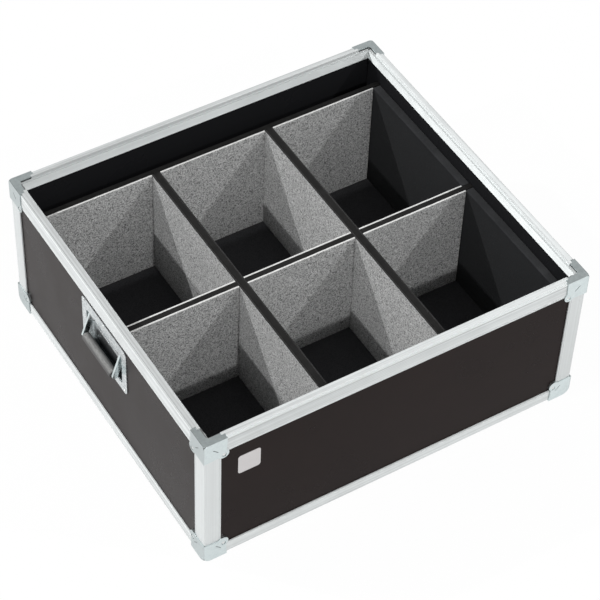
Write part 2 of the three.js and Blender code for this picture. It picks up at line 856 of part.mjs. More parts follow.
// The least gap between a wire and itself, measured between its points at least half a turn apart
function leastGap(points, radius) {
  let least = Infinity;
  const skip = coil_steps / 2;
  for (let first = 0; first < points.length; first += 1) {
    for (let second = first + skip; second < points.length; second += 1) {
      least = Math.min(least, points[first].distanceTo(points[second]) - 2 * radius);
    }
  }
  return least;
}

function addHandles() {
  const path = springPath();
  const gap = leastGap(path, wire_radius);
  const verdict = gap > least_wire_gap ? 'clear' : 'too tight';
  console.log(`handle spring: least gap to itself ${gap.toFixed(2)} mm, ${verdict}`);
  const spring = tubeAlong(path, wire_radius, wire_sides);
  const dish = handleDish();
  const bail = handleBail();
  for (const [side, sign] of [['left', -1], ['right', 1]]) {
    const group = new THREE.Group();
    group.position.set(sign * (frame_half_x - panel_inset), 0, handle_height);
    group.rotation.z = sign > 0 ? 0 : Math.PI;
    addMesh(group, `handle_${side}_dish`, dish, zinc);
    addMesh(group, `handle_${side}_axle`, handleAxle(), zinc, [-pivot_depth, 0, pivot_z]);
    addMesh(group, `handle_${side}_spring`, spring, spring_steel);
    addMesh(group, `handle_${side}_bail`, bail, zinc);
    addMesh(group, `handle_${side}_grip`, handleGrip(), grip_rubber, [grip_x, 0, grip_z]);
    flight_case.add(group);
  }
}

addPanels();
addSideBars();
addCorners();
addDividers();
addFoam();
addHandles();

export default flight_case;
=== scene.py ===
import math

import bmesh
import bpy
from mathutils import Matrix, Vector, noise


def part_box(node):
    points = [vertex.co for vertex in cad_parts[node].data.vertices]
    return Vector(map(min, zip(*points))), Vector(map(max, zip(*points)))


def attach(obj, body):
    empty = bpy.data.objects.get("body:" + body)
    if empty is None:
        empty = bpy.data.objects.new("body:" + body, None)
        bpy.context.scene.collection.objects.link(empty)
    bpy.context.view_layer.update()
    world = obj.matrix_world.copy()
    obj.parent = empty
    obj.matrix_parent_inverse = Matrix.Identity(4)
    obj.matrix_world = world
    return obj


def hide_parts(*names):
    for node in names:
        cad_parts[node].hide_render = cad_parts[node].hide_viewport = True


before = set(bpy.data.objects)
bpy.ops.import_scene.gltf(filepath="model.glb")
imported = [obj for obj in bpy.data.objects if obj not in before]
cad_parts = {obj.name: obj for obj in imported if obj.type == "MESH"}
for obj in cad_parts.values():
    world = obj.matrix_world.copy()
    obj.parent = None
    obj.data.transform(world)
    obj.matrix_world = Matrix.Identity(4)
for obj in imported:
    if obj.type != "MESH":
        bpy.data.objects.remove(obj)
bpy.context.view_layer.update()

# Without a seed of its own the noise would differ a little from run to run
noise.seed_set(1)

# Sizes of the case, in metres, the same as in the part's source
CASE_WIDTH, CASE_DEPTH, CASE_HEIGHT = 0.720, 0.660, 0.297
SEAT_GAP = 0.0003
WALL_FOOT, DIVIDER_TOP = 0.0134, 0.2404
LINER_FACE = 0.3286

# Where the long boards stand, and the slots that let the boards cross
LONG_PLACES = (-0.11225, 0.11225)
SLOT_FLOOR, SLOT_HALF = 0.12675, 0.00835

# The two faces of each felt: from front to back, then from left to right
REAR_FELT = (0.2691, 0.2721)
CROSS_BACK_FELT = (-0.0142, -0.0112)
CROSS_FRONT_FELT = (-0.0273, -0.0243)
FRONT_LINING = (-0.3146, -0.3076)
FELT_THICKNESS = 0.003
LONG_FELTS = {"left_a": -0.1203, "left_b": -0.1072, "right_a": 0.1042, "right_b": 0.1173}

# Heights on a rim bar: shoulder, inner ledge, foot of the inner leg, and two bands on its face, a
# line of painted shade with a band of painted highlight above it
SHOULDER, RIM_LEDGE, RIM_FOOT = 0.2940, 0.2910, 0.2640
SHADE_LINE_LOW, HIGHLIGHT_BAND_LOW = 0.2878, 0.2909
TONGUE_REACH, FACE_REACH = 0.0090, 0.0120

# Rivets, and the wells in the braces' ears that they sit in
RIVET_INSET, TOP_RIVET_Z, BOTTOM_RIVET_Z = 0.0363, 0.2580, 0.0308
WELL_DEPTH, EAR_RIVET_RADIUS = 0.0012, 0.0034
PLATE_RIVET_RADIUS, PLATE_RIVET_HEIGHT = 0.0030, 0.0013
PLATE_RIVET_SIDE_INSET, PLATE_RIVET_EDGE_INSET = 0.0070, 0.0065

# The handles: plate, grip, and the part of the dish painted near black as its shade
PLATE_HALF_WIDTH, PLATE_LOW, PLATE_HIGH, PLATE_FACE = 0.075, 0.152, 0.254, 0.3577
GRIP_X, GRIP_Z = 0.3668, 0.1840
DISH_DARK_TOP, DISH_DARK_HALF, DISH_END = 0.2005, 0.062, 0.060

# The bare plate on the front panel
BADGE_LEFT, BADGE_RIGHT, BADGE_LOW, BADGE_HIGH = -0.2970, -0.2565, 0.1890, 0.2315
BADGE_SEAT, BADGE_THICKNESS, BADGE_RADIUS = -0.3259, 0.0008, 0.0050


# ---------------------------------------------------------------- shader nodes

def new_group(name, inputs, outputs):
    """A shader node group with named sockets, and its two end nodes."""
    group = bpy.data.node_groups.new(name, "ShaderNodeTree")
    for label, kind, value in inputs:
        socket = group.interface.new_socket(name=label, in_out="INPUT", socket_type=kind)
        socket.default_value = value
    for label in outputs:
        group.interface.new_socket(name=label, in_out="OUTPUT", socket_type="NodeSocketFloat")
    start = group.nodes.new("NodeGroupInput")
    end = group.nodes.new("NodeGroupOutput")
    return group, start, end


def add(tree, kind, links=None, **settings):
    """One node, with its settings, its values and what feeds its sockets."""
    node = tree.nodes.new(kind)
    for key, value in settings.items():
        setattr(node, key, value)
    for key, value in (links or {}).items():
        if isinstance(value, bpy.types.NodeSocket):
            tree.links.new(value, node.inputs[key])
        else:
            node.inputs[key].default_value = value
    return node


def feed(tree, node, **sockets):
    """Links what feeds each named socket of a node."""
    for key, value in sockets.items():
        tree.links.new(value, node.inputs[key.replace("_", " ")])


def maths(tree, operation, first, second=0.5):
    return add(tree, "ShaderNodeMath", {0: first, 1: second}, operation=operation).outputs[0]


def plus(tree, first, second):
    return maths(tree, "ADD", first, second)


def minus(tree, first, second):
    return maths(tree, "SUBTRACT", first, second)


def times(tree, first, *others):
    for other in others:
        first = maths(tree, "MULTIPLY", first, other)
    return first


def unsigned(tree, value):
    return maths(tree, "ABSOLUTE", value)


def over(tree, value, limit):
    return maths(tree, "GREATER_THAN", value, limit)


def under(tree, value, limit):
    return maths(tree, "LESS_THAN", value, limit)


def spread(tree, value, low, high, to_low=0.0, to_high=1.0):
    """A value moved from one range to another, held inside it."""
    links = {"Value": value, "From Min": low, "From Max": high, "To Min": to_low, "To Max": to_high}
    return add(tree, "ShaderNodeMapRange", links).outputs[0]


def noise_value(tree, place, scale, detail=2.0, roughness=0.5):
    links = {"Vector": place, "Scale": scale, "Detail": detail, "Roughness": roughness}
    return add(tree, "ShaderNodeTexNoise", links).outputs["Fac"]


def cell_texture(tree, place, scale):
    return add(tree, "ShaderNodeTexVoronoi", {"Vector": place, "Scale": scale})


def object_place(tree):
    return add(tree, "ShaderNodeTexCoord").outputs["Object"]


def stretched(tree, place, factors):
    scaled = add(tree, "ShaderNodeVectorMath", {0: place, 1: factors}, operation="MULTIPLY")
    return scaled.outputs[0]


def split_axes(tree, vector):
    """The X, Y and Z outputs of a vector."""
    return add(tree, "ShaderNodeSeparateXYZ", {0: vector}).outputs


def case_place(tree):
    """Where a point lies in the case, by axis."""
    return split_axes(tree, add(tree, "ShaderNodeNewGeometry").outputs["Position"])


def blend_colours(tree, mask, first, second):
    node = add(tree, "ShaderNodeMix", {0: mask}, data_type="RGBA")
    for index, value in ((6, first), (7, second)):
        if isinstance(value, bpy.types.NodeSocket):
            tree.links.new(value, node.inputs[index])
        else:
            node.inputs[index].default_value = (*value, 1)
    return node.outputs[2]


def toned(tree, colour, tone):
    """A colour made darker or lighter."""
    scaled = add(tree, "ShaderNodeVectorMath", {0: colour, "Scale": tone}, operation="SCALE")
    return scaled.outputs[0]


# ---------------------------------------------------------------- node groups

def make_drawn_lines():
    """The faint lines that drawing through a die or brushing leaves along a bar or plate."""
    group, start, end = new_group(
        "drawn lines",
        [("Stretch", "NodeSocketVector", (4.0, 900.0, 900.0)),
         ("Strength", "NodeSocketFloat", 1.0)],
        ["Line"],
    )
    drawn = stretched(group, object_place(group), start.outputs["Stretch"])
    fine = noise_value(group, drawn, 1.0, detail=4.0, roughness=0.6)
    feed(group, end, Line=times(group, minus(group, fine, 0.5), start.outputs["Strength"]))
    return group


def make_handling():
    """Soft uneven patches and a few short scuffs, as handled surfaces have."""
    group, start, end = new_group(
        "handling",
        [("Patch Scale", "NodeSocketFloat", 9.0), ("Scuff Scale", "NodeSocketFloat", 40.0)],
        ["Patch", "Scuff"],
    )
    place = object_place(group)
    patch = noise_value(group, place, start.outputs["Patch Scale"], detail=4.0, roughness=0.6)
    upright = stretched(group, place, (0.35, 0.35, 1.6))
    scratch = noise_value(group, upright, start.outputs["Scuff Scale"], detail=5.0, roughness=0.7)
    feed(group, end, Patch=patch, Scuff=spread(group, scratch, 0.64, 0.72))
    return group


def make_fibres():
    """Matted fibres: light and dark flecks, short strands and a slow cloud of shade."""
    group, start, end = new_group(
        "fibres",
        [("Fleck Scale", "NodeSocketFloat", 420.0), ("Strand Scale", "NodeSocketFloat", 900.0)],
        ["Fleck", "Cloud", "Height"],
    )
    place = object_place(group)
    twist = add(group, "ShaderNodeTexNoise", {"Vector": place, "Scale": 60.0, "Detail": 2.0})
    turned = add(group, "ShaderNodeVectorMath",
                 {0: twist.outputs["Color"], 1: (0.012, 0.012, 0.012), 2: place},
                 operation="MULTIPLY_ADD").outputs[0]
    fleck = noise_value(group, turned, start.outputs["Fleck Scale"], detail=3.0, roughness=0.62)
    strands = cell_texture(group, turned, start.outputs["Strand Scale"])
    strand = spread(group, strands.outputs["Distance"], 0.1, 0.7)
    mixed = plus(group, times(group, fleck, 0.8), times(group, strand, 0.2))
    feed(group, end,
         Fleck=spread(group, mixed, 0.39, 0.63),
         Cloud=noise_value(group, place, 16.0, detail=3.0, roughness=0.5),
         Height=plus(group, fleck, times(group, strand, 0.5)))
    return group


def make_cells():
    """The open cells of foam."""
    group, start, end = new_group(
        "foam cells", [("Cell Scale", "NodeSocketFloat", 700.0)], ["Cell", "Cloud"])
    place = object_place(group)
    cells = cell_texture(group, place, start.outputs["Cell Scale"])
    feed(group, end,
         Cell=spread(group, cells.outputs["Distance"], 0.15, 0.6),
         Cloud=noise_value(group, place, 22.0, detail=4.0, roughness=0.6))
    return group


def make_spangle():
    """The small crystals of a zinc coating, each a little lighter or darker, with dull specks."""
    group, start, end = new_group(
        "zinc spangle", [("Crystal Scale", "NodeSocketFloat", 260.0)], ["Shade", "Speck"])
    place = object_place(group)
    crystals = cell_texture(group, place, start.outputs["Crystal Scale"])
    tone = add(group, "ShaderNodeSeparateColor", {0: crystals.outputs["Color"]}).outputs[0]
    cloud = noise_value(group, place, 120.0, detail=5.0, roughness=0.65)
    mixed = plus(group, times(group, tone, 0.45), times(group, cloud, 0.55))
    spots = noise_value(group, place, 330.0, detail=2.0, roughness=0.5)
    feed(group, end, Shade=spread(group, mixed, 0.25, 0.75), Speck=spread(group, spots, 0.60, 0.70))
    return group


DRAWN_LINES = make_drawn_lines()
HANDLING = make_handling()
FIBRES = make_fibres()
CELLS = make_cells()
SPANGLE = make_spangle()


# ------------------------------------------------------------------ materials

def new_material(name, **values):
    """A material with its Principled shader; values are set on the shader's own sockets."""
    material = bpy.data.materials.new(name)
    material.use_nodes = True
    tree = material.node_tree
    shader = next(node for node in tree.nodes if node.type == "BSDF_PRINCIPLED")
    for key, value in values.items():
        shader.inputs[key.replace("_", " ")].default_value = value
    return material, tree, shader


def use_group(tree, group, **values):
    node = tree.nodes.new("ShaderNodeGroup")
    node.node_tree = group
    for key, value in values.items():
        node.inputs[key.replace("_", " ")].default_value = value
    return node.outputs


def raise_surface(tree, shader, height, strength, distance):
    bump = add(tree, "ShaderNodeBump",
               {"Height": height, "Strength": strength, "Distance": distance})
    feed(tree, shader, Normal=bump.outputs[0])


def phenolic_film(name, base, worn, inside):
    """Birch plywood faced with dark phenolic film: smooth, slightly uneven, blacker inside."""
    material, tree, shader = new_material(
        name, Specular_IOR_Level=0.068, Specular_Tint=(1.0, 0.78, 0.76, 1))
    hand = use_group(tree, HANDLING, Patch_Scale=7.0, Scuff_Scale=55.0)
    colour = blend_colours(tree, spread(tree, hand["Patch"], 0.3, 0.7), base, worn)

    place = case_place(tree)
    wall = 0.010
    within = times(tree, under(tree, unsigned(tree, place["X"]), CASE_WIDTH / 2 - wall),
                   under(tree, unsigned(tree, place["Y"]), CASE_DEPTH / 2 - wall),
                   over(tree, place["Z"], WALL_FOOT - 0.001))
    colour = blend_colours(tree, within, colour, inside)

    rough = spread(tree, hand["Patch"], 0.25, 0.75, 0.24, 0.34)
    rough = plus(tree, rough, times(tree, hand["Scuff"], 0.05))
    feed(tree, shader, Base_Color=colour, Roughness=rough)
    grain = noise_value(tree, object_place(tree), 380.0, detail=3.0, roughness=0.6)
    raise_surface(tree, shader, grain, strength=0.08, distance=0.0003)
    return material


def rim_places(tree, rim):
    """Masks for the parts of a rim bar: inner lip, ledge, tongue and the bands of its outer leg
    that get painted shade and painted highlight.
    """
    place = case_place(tree)
    offset, height = place[rim["across"]], place["Z"]
    reach = unsigned(tree, offset)
    lip = under(tree, reach, rim["lip_edge"])
    top = over(tree, height, CASE_HEIGHT - 0.0004)
    corner = minus(tree, over(tree, height, CASE_HEIGHT - rim["corner_drop"]), top)
    on_face = over(tree, reach, rim["lip_edge"] + FACE_REACH)
    over_shade_line = over(tree, height, SHADE_LINE_LOW)
    over_highlight_band = over(tree, height, HIGHLIGHT_BAND_LOW)
    over_shoulder = over(tree, height, SHOULDER - 0.0001)
    return {
        "offset": offset,
        "lip": lip,
        "foot": spread(tree, height, RIM_LEDGE, RIM_FOOT),
        "ledge": times(tree, lip, over(tree, height, RIM_LEDGE - 0.0003)),
        "wall": times(tree, lip, over(tree, height, RIM_LEDGE + 0.0003)),
        "top": top,
        "corner": times(tree, corner, over(tree, reach, rim["lip_edge"] + TONGUE_REACH)),
        # A line of painted shade on the outer leg, and a band of painted highlight above it
        "painted_shade_line": times(tree, minus(tree, over_shade_line, over_highlight_band), on_face),
        "painted_highlight_band": times(tree, minus(tree, over_highlight_band, over_shoulder), on_face),
    }


def grey(shade):
    """The bars' very slightly cool grey."""
    return (shade, shade * 1.035, shade * 1.035)


def paint_rim(tree, shader, colour, rim):
    """Paints light and shade on a rim bar, and gives its inner lip its own metal: tops lighter or
    darker by the side of the case, painted shade in the corner beside the tongue, in a line on the
    outer leg and on the ledge and wall, painted highlight in a band on the outer leg and on the
    inner lip.
    """
    masks = rim_places(tree, rim)
    body_metal, lip_top_metal = 0.4, 1.0
    metal = spread(tree, masks["foot"], 0.0, 1.0, lip_top_metal - body_metal,
                   rim["lip_metal"] - body_metal)
    feed(tree, shader, Metallic=plus(tree, times(tree, masks["lip"], metal), body_metal))

    # Painted light: each bar's tops are lighter or darker by the side of the case it stands on
    left_or_front, right_or_back = -0.34, 0.34
    tone = spread(tree, masks["offset"], left_or_front, right_or_back, *rim["tops"])
    colour = blend_colours(tree, masks["top"], colour, toned(tree, colour, tone))
    # Painted shade in the corner beside the tongue and in the line on the outer leg, painted
    # highlight in the band above it
    colour = blend_colours(tree, masks["corner"], colour, grey(rim["corner"]))
    for band in ("painted_shade_line", "painted_highlight_band"):
        colour = blend_colours(tree, masks[band], colour, toned(tree, colour, rim[band]))
    # Painted highlight on the inner lip, lightest at its foot, and painted shade on the ledge and
    # wall
    lip = blend_colours(tree, masks["foot"], *map(grey, rim["lip"]))
    colour = blend_colours(tree, masks["lip"], colour, lip)
    for part in ("ledge", "wall"):
        colour = blend_colours(tree, masks[part], colour, grey(rim[part]))
    return colour


def anodised_bar(name, along, dark, light, rim=None):
    """Satin anodised aluminium; the faint lines of extrusion along the bar spread its gloss."""
    material, tree, shader = new_material(
        name, Metallic=0.4, Anisotropic=0.85, Anisotropic_Rotation=0.25)
    drawn = tuple(2.0 if axis == along else 360.0 for axis in "XYZ")
    lie = add(tree, "ShaderNodeCombineXYZ", {along: 1.0}).outputs[0]
    line = use_group(tree, DRAWN_LINES, Stretch=drawn, Strength=1.0)["Line"]
    patch = use_group(tree, HANDLING, Patch_Scale=26.0, Scuff_Scale=90.0)["Patch"]
    shade = plus(tree, times(tree, line, 1.3), spread(tree, patch, 0.0, 1.0, 0.35, 0.65))
    colour = blend_colours(tree, spread(tree, shade, 0.25, 0.75), grey(dark), grey(light))
    if rim is not None:
        colour = paint_rim(tree, shader, colour, rim)
    rough = plus(tree, spread(tree, patch, 0.2, 0.8, 0.54, 0.62), times(tree, line, 0.22))
    feed(tree, shader, Base_Color=colour, Roughness=rough, Tangent=lie)
    raise_surface(tree, shader, line, strength=0.12, distance=0.0004)
    return material


def pressed_in(tree, axis, face):
    """A mask for what is pressed a little way into the faces that look along an axis."""
    surface = add(tree, "ShaderNodeNewGeometry")
    reach = unsigned(tree, split_axes(tree, surface.outputs["Position"])[axis])
    look = unsigned(tree, split_axes(tree, surface.outputs["True Normal"])[axis])
    shallowest, deepest = 0.00015, 0.0011
    return times(tree, over(tree, look, 0.5), under(tree, reach, face - shallowest),
                 over(tree, reach, face - deepest))


def shade_brace(tree, colour):
    """Painted shade on a brace's short side, painted light growing towards the right, and painted
    shade in its creases.
    """
    place = case_place(tree)
    side_face, front_face = CASE_WIDTH / 2, CASE_DEPTH / 2
    # Painted shade on the short side and in the creases, painted light towards the right
    side_tone, left_tone, right_tone, crease_tone = 0.80, 0.99, 1.07, 0.27
    side = spread(tree, unsigned(tree, place["X"]), side_face - 0.0014, side_face - 0.0006,
                  1.0, side_tone)
    along = spread(tree, place["X"], -side_face, side_face, left_tone, right_tone)
    colour = toned(tree, toned(tree, colour, side), along)
    creased = maths(tree, "MAXIMUM", pressed_in(tree, "X", side_face),
                    pressed_in(tree, "Y", front_face))
    return blend_colours(tree, creased, colour, toned(tree, colour, crease_tone))


def zinc_pressing(name, rough, is_brace):
    """Zinc-plated pressed steel: bluish grey, slightly mottled."""
    material, tree, shader = new_material(name, Metallic=1.0)
    dark_crystal, light_crystal = (0.630, 0.698, 0.706), (0.690, 0.760, 0.764)
    shade = use_group(tree, SPANGLE, Crystal_Scale=300.0)["Shade"]
    colour = blend_colours(tree, shade, dark_crystal, light_crystal)
    if is_brace:
        # Braces also get painted shade and light
        colour = shade_brace(tree, colour)
    feed(tree, shader, Base_Color=colour, Roughness=spread(tree, shade, 0.0, 1.0, *rough))
    raise_surface(tree, shader, shade, strength=0.05, distance=0.0002)
    return material


def dished_zinc(name):
    """The handle's plate and dish: spangled zinc with dull specks, and painted shade, near black,
    in the lower middle of the dish.
    """
    material, tree, shader = new_material(name, Metallic=1.0)
    place = case_place(tree)
    along = unsigned(tree, place["Y"])
    inside = spread(tree, unsigned(tree, place["X"]), PLATE_FACE - 0.0008, PLATE_FACE - 0.0030)
    # Painted shade: the lower middle of the dish, inside the plate's face, turns near black
    low = spread(tree, place["Z"], DISH_DARK_TOP, DISH_DARK_TOP - 0.012)
    middle = spread(tree, along, DISH_DARK_HALF, DISH_DARK_HALF - 0.022)
    cloud = noise_value(tree, object_place(tree), 90.0, detail=4.0, roughness=0.6)
    uneven = times(tree, cloud, 0.5)
    dark = spread(tree, minus(tree, times(tree, inside, low, middle), uneven), -0.15, 0.45)

    clear_end = spread(tree, along, DISH_END - 0.014, DISH_END - 0.004)
    clear_top = spread(tree, place["Z"], DISH_DARK_TOP - 0.004, DISH_DARK_TOP + 0.006)
    dull = times(tree, inside, maths(tree, "MAXIMUM", clear_end, clear_top))

    dark_crystal, light_crystal = (0.50, 0.545, 0.560), (0.80, 0.835, 0.840)
    speck_grey, painted_shade_black = (0.20, 0.225, 0.235), (0.032, 0.036, 0.038)
    spangle = use_group(tree, SPANGLE, Crystal_Scale=240.0)
    colour = blend_colours(tree, spangle["Shade"], dark_crystal, light_crystal)
    colour = blend_colours(tree, times(tree, spangle["Speck"], 0.6), colour, speck_grey)
    colour = blend_colours(tree, dark, colour, painted_shade_black)
    rough = plus(tree, spread(tree, spangle["Shade"], 0.0, 1.0, 0.2, 0.34), times(tree, dark, 0.2))
    feed(tree, shader, Base_Color=colour, Roughness=rough,
         Metallic=spread(tree, dull, 0.0, 1.0, 1.0, 0.25))
    raise_surface(tree, shader, spangle["Shade"], strength=0.1, distance=0.0004)
    return material


def small_steel(name, grain, dull, bright, rough):
    """Plain steel for small pieces, with a fine uneven shade."""
    material, tree, shader = new_material(name, Metallic=1.0)
    shade = noise_value(tree, object_place(tree), *grain)
    feed(tree, shader, Base_Color=blend_colours(tree, shade, dull, bright),
         Roughness=spread(tree, shade, 0.3, 0.7, *rough))
    return material


def grip_rubber(name):
    """The grip's fine-grained grey sleeve, with a streaky painted highlight along the top and
    painted shade underneath.
    """
    material, tree, shader = new_material(name, Specular_IOR_Level=0.2)
    dark_grey, mid_grey = (0.078, 0.078, 0.077), (0.140, 0.140, 0.138)
    painted_highlight_grey, painted_shade_grey = (0.25, 0.25, 0.245), (0.030, 0.030, 0.030)
    patch = use_group(tree, HANDLING, Patch_Scale=60.0, Scuff_Scale=150.0)["Patch"]
    colour = blend_colours(tree, patch, dark_grey, mid_grey)

    place = split_axes(tree, object_place(tree))
    outward = minus(tree, unsigned(tree, place["X"]), GRIP_X)
    upward = minus(tree, place["Z"], GRIP_Z)
    # Painted highlight in a streaky band along the upper outer side of the sleeve
    facing = plus(tree, times(tree, outward, 0.40), times(tree, upward, 0.91))
    lengthwise = stretched(tree, object_place(tree), (700.0, 150.0, 700.0))
    streak = noise_value(tree, lengthwise, 1.0, detail=4.0, roughness=0.6)
    painted_highlight_mask = times(tree, spread(tree, facing, 0.0058, 0.0078),
                   spread(tree, streak, 0.35, 0.65, 0.20, 0.95))
    colour = blend_colours(tree, painted_highlight_mask, colour, painted_highlight_grey)
    # Painted shade on the underside of the sleeve
    painted_shade_mask = spread(tree, upward, 0.0045, -0.0020, 0.0, 0.70)
    colour = blend_colours(tree, painted_shade_mask, colour, painted_shade_grey)

    feed(tree, shader, Base_Color=colour, Roughness=spread(tree, patch, 0.3, 0.7, 0.40, 0.52))
    raise_surface(tree, shader, noise_value(tree, object_place(tree), 1500.0), strength=0.25,
                  distance=0.0003)
    return material


def black_ply(name):
    """Black-stained plywood: the divider boards, with the lines of the plies on their edges."""
    material, tree, shader = new_material(name, Specular_IOR_Level=0.25)
    place = object_place(tree)
    plies = stretched(tree, place, (60.0, 60.0, 900.0))
    grain = noise_value(tree, plies, 1.0, detail=5.0, roughness=0.6)
    patch = noise_value(tree, place, 25.0, detail=3.0, roughness=0.5)
    mask = spread(tree, times(tree, plus(tree, grain, patch), 0.5), 0.35, 0.65)
    deep_black, worn_black = (0.0042, 0.0040, 0.0039), (0.0100, 0.0096, 0.0092)
    feed(tree, shader, Base_Color=blend_colours(tree, mask, deep_black, worn_black),
         Roughness=spread(tree, grain, 0.3, 0.7, 0.55, 0.75))
    raise_surface(tree, shader, grain, strength=0.2, distance=0.0005)
    return material


def felt(name, dark, light, speck):
    """Needled felt: matted fibres with lighter and darker flecks."""
    material, tree, shader = new_material(
        name, Roughness=1.0, Specular_IOR_Level=0.15, Sheen_Weight=0.12, Sheen_Roughness=0.6)
    fibres = use_group(tree, FIBRES, Fleck_Scale=360.0, Strand_Scale=640.0)
    colour = blend_colours(tree, fibres["Fleck"], dark, light)
    cloud = spread(tree, fibres["Cloud"], 0.35, 0.65, 0.0, 0.18)
    feed(tree, shader, Base_Color=blend_colours(tree, cloud, colour, speck))
    raise_surface(tree, shader, fibres["Height"], strength=0.55, distance=0.0012)
    return material


def foam(name, dark, light, cell_scale):
    """Fine black foam, matt, with its cells just visible close by and paler along the top edge."""
    material, tree, shader = new_material(
        name, Roughness=0.95, Specular_IOR_Level=0.2, Sheen_Weight=0.06, Sheen_Roughness=0.5)
    cells = use_group(tree, CELLS, Cell_Scale=cell_scale)
    mask = times(tree, plus(tree, cells["Cell"], cells["Cloud"]), 0.5)
    colour = blend_colours(tree, spread(tree, mask, 0.3, 0.7), dark, light)
    height = case_place(tree)["Z"]
    at_edge = spread(tree, height, DIVIDER_TOP - 0.0024, DIVIDER_TOP - 0.0006)
    paler_top_band = times(tree, at_edge, spread(tree, cells["Cloud"], 0.3, 0.7, 0.5, 1.0))
    edge_grey = (0.030, 0.031, 0.033)
    feed(tree, shader, Base_Color=blend_colours(tree, paler_top_band, colour, edge_grey))
    raise_surface(tree, shader, cells["Cell"], strength=0.4, distance=0.0006)
    return material


def brushed_plate(name):
    """A bare plate of brushed aluminium."""
    material, tree, shader = new_material(name, Metallic=1.0)
    line = use_group(tree, DRAWN_LINES, Stretch=(12.0, 900.0, 1800.0), Strength=1.0)["Line"]
    shade = spread(tree, line, -0.25, 0.25)
    dull, bright = (0.60, 0.58, 0.58), (0.72, 0.70, 0.70)
    feed(tree, shader, Base_Color=blend_colours(tree, shade, dull, bright),
         Roughness=spread(tree, line, -0.25, 0.25, 0.38, 0.52))
    raise_surface(tree, shader, line, strength=0.15, distance=0.0002)
    return material


# Painted light and shade of the rim bars: tops by side, greys for the shaded corner, ledge and
# wall, tones for the shade line and highlight band, and the highlit lip
FRONT_BACK_RIM = {
    "across": "Y", "lip_edge": 0.3160, "tops": (1.09, 0.95), "corner": 0.78, "corner_drop": 0.0031,
    "painted_shade_line": 0.78, "painted_highlight_band": 1.16, "lip": (0.87, 0.95), "lip_metal": 0.6,
    "ledge": 0.68, "wall": 0.62,
}
LEFT_RIGHT_RIM = {
    "across": "X", "lip_edge": 0.3460, "tops": (0.80, 1.10), "corner": 0.32, "corner_drop": 0.00295,
    "painted_shade_line": 1.0, "painted_highlight_band": 1.24, "lip": (0.85, 0.95), "lip_metal": 1.0,
    "ledge": 0.50, "wall": 0.75,
}

PANEL_FILM = phenolic_film("phenolic film", (0.0085, 0.0050, 0.0046), (0.0120, 0.0074, 0.0066),
                           (0.0135, 0.0138, 0.0152))
# The bar finishes are one aluminium; their greys differ by bar direction as painted light and shade
# for how the lamps fall on each side
BAR_ALONG_X = anodised_bar("anodised bar, lines along X", "X", 0.51, 0.72, FRONT_BACK_RIM)
BAR_ALONG_Y = anodised_bar("anodised bar, lines along Y", "Y", 0.46, 0.67, LEFT_RIGHT_RIM)
BAR_ALONG_Z = anodised_bar("anodised bar, lines along Z", "Z", 0.67, 0.75)
FOOT_ALONG_X = anodised_bar("anodised bottom bar, lines along X", "X", 0.58, 0.80)
FOOT_ALONG_Y = anodised_bar("anodised bottom bar, lines along Y", "Y", 0.50, 0.72)
ZINC = zinc_pressing("zinc-plated pressing", rough=(0.30, 0.38), is_brace=True)
HANDLE_ZINC = zinc_pressing("zinc-plated handle", rough=(0.2, 0.34), is_brace=False)
DISH_ZINC = dished_zinc("zinc-plated dish")
WIRE = small_steel("spring wire", grain=(300.0, 3.0, 0.5), dull=(0.40, 0.41, 0.42),
                   bright=(0.60, 0.61, 0.61), rough=(0.24, 0.36))
RIVET = small_steel("rivet steel", grain=(500.0, 4.0, 0.6), dull=(0.66, 0.68, 0.68),
                    bright=(0.80, 0.81, 0.80), rough=(0.18, 0.32))
RUBBER = grip_rubber("grip rubber")
PLY = black_ply("black plywood")
GREY_FELT = felt("grey felt", (0.076, 0.077, 0.077), (0.635, 0.638, 0.635), (0.33, 0.333, 0.332))
DARK_EDGE = felt("black felt edge", (0.0035, 0.0035, 0.0035), (0.020, 0.0195, 0.019),
                 (0.012, 0.012, 0.012))
CUT_FELT = felt("white felt edge", (0.52, 0.52, 0.51), (0.74, 0.74, 0.73), (0.68, 0.68, 0.67))
LINER_FOAM = foam("black liner foam", (0.0039, 0.0043, 0.0050), (0.0078, 0.0086, 0.0100), 700.0)
PAD_FOAM = foam("black floor pad", (0.020, 0.020, 0.022), (0.036, 0.036, 0.039), 500.0)
PLATE_METAL = brushed_plate("bare brushed plate")


def finish_nodes():
    """Each CAD node that stays gets its own finish in its material slot."""
    finishes = {
        "panel": PANEL_FILM,
        "rim_front": BAR_ALONG_X, "rim_back": BAR_ALONG_X,
        "rim_left": BAR_ALONG_Y, "rim_right": BAR_ALONG_Y,
        "bottom_edge_front": FOOT_ALONG_X, "bottom_edge_back": FOOT_ALONG_X,
        "bottom_edge_left": FOOT_ALONG_Y, "bottom_edge_right": FOOT_ALONG_Y,
        "corner_edge": BAR_ALONG_Z, "brace": ZINC, "divider": PLY,
        "dish": DISH_ZINC, "axle": HANDLE_ZINC, "bail": HANDLE_ZINC, "spring": WIRE, "grip": RUBBER,
    }
    for name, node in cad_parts.items():
        for part, material in finishes.items():
            if part in name and not name.startswith("felt"):
                node.data.materials.clear()
                node.data.materials.append(material)
                break


# --------------------------------------------------------------------- pieces

def new_piece(name, made, materials):
    """Turns a bmesh into a named piece that rides on the case."""
    mesh = bpy.data.meshes.new(name)
    made.to_mesh(mesh)
    made.free()
    for material in materials:
        mesh.materials.append(material)
    piece = bpy.data.objects.new(name, mesh)
    bpy.context.scene.collection.objects.link(piece)
    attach(piece, "case")
    return piece


def grid_lines(ends, breaks, step):
    """Places from one end to the other, through each break, no further apart than step."""
    stops = sorted({ends[0], ends[1], *breaks})
    lines = [stops[0]]
    for low, high in zip(stops, stops[1:]):
        count = max(1, math.ceil((high - low) / step))
        lines += [low + (high - low) * index / count for index in range(1, count + 1)]
    return lines


